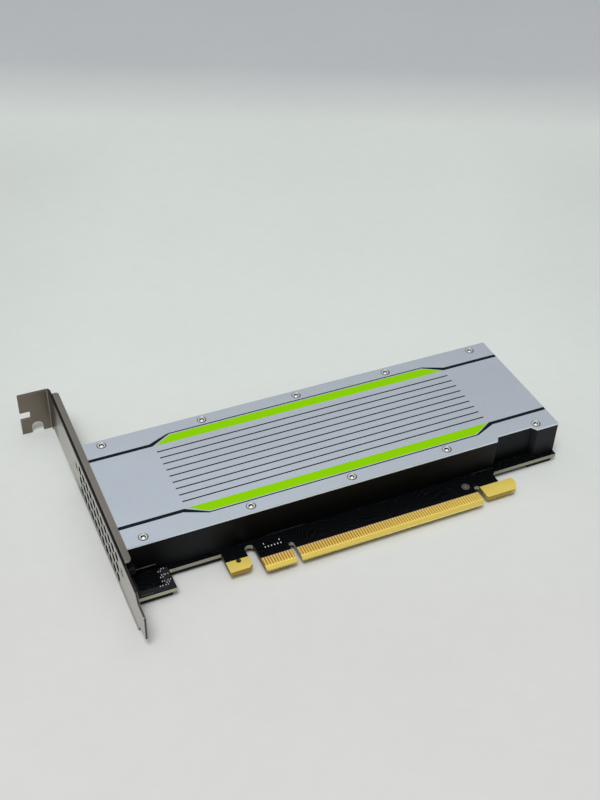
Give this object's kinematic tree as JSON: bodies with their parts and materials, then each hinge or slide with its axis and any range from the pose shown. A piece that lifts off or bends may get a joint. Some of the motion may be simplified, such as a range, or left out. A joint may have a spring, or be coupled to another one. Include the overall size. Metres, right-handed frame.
{
  "type": "passive accelerator card",
  "caption": "Flat expansion card with a full-length passive heatsink under a striped cover plate, an edge connector and a full-height mounting bracket with a grille.",
  "frame": {"origin": "centre line of the edge connector's key notch, at the tips of the contacts, on the board's component face", "axes": "+X along the board towards the tail, away from the bracket; +Y from the contact tips towards the rear edge, against the direction of insertion; +Z from the component face towards the cover plate"},
  "size_m": [0.1803, 0.1181, 0.0203],
  "materials": {
    "board": "glossy black solder mask over glass-fibre laminate",
    "gold": "hard gold plating",
    "tin": "tinned copper",
    "black_anodised": "black anodised, satin",
    "fin_metal": "black anodised fins",
    "copper": "plain copper",
    "cover_paint": "satin silver-grey paint on sheet aluminium",
    "screw_steel": "nickel-plated steel",
    "bracket_steel": "dull nickel-plated sheet steel",
    "film": "thin black film",
    "backplate_paint": "satin black coating on aluminium",
    "laminate": "green laminate",
    "stiffener": "nickel-plated copper ring",
    "silicon": "bare polished silicon",
    "paste": "grey paste",
    "chip_resin": "moulded black resin",
    "thermal_pad": "soft grey pad",
    "ferrite": "pressed metal powder",
    "capacitor_case": "moulded dark case",
    "ceramic_body": "unglazed brown ceramic",
    "tarnished_gold": "dull tarnished gold",
    "white_ink": "white printed ink",
    "dark_ink": "near-black printed ink",
    "green_ink": "bright green printed ink"
  },
  "bodies": {
    "root": {"circuit_board": "board", "edge_contacts_top": "gold", "edge_contacts_bottom": "gold", "guide_plating": "gold", "hook_plating": "gold", "ground_ring": "tin", "heatsink_frame": "black_anodised", "fin_stack": "fin_metal", "heat_spreader": "copper", "cover_plate": "cover_paint", "cover_screws": "screw_steel", "bracket": "bracket_steel", "bracket_screws": "screw_steel", "insulating_film": "film", "backplate": "backplate_paint", "backplate_screws": "screw_steel", "clamp_screws": "screw_steel", "clamp_washers": "screw_steel", "processor_substrate": "laminate", "stiffener_frame": "stiffener", "processor_die": "silicon", "thermal_paste": "paste", "memory_chips": "chip_resin", "memory_pads": "thermal_pad", "inductors": "ferrite", "inductor_pads": "thermal_pad", "power_stages": "chip_resin", "power_stage_pads": "thermal_pad", "reservoir_capacitors": "capacitor_case", "control_chip": "chip_resin", "firmware_chip": "chip_resin", "firmware_chip_leads": "tin", "clock_crystal": "tin", "foot_chips": "ceramic_body", "foot_chip_terminals": "tin", "test_pads": "tarnished_gold", "board_marks": "white_ink", "dark_bands": "dark_ink", "green_stripes": "green_ink", "fine_lines": "dark_ink"}
  },
  "joints": []
}
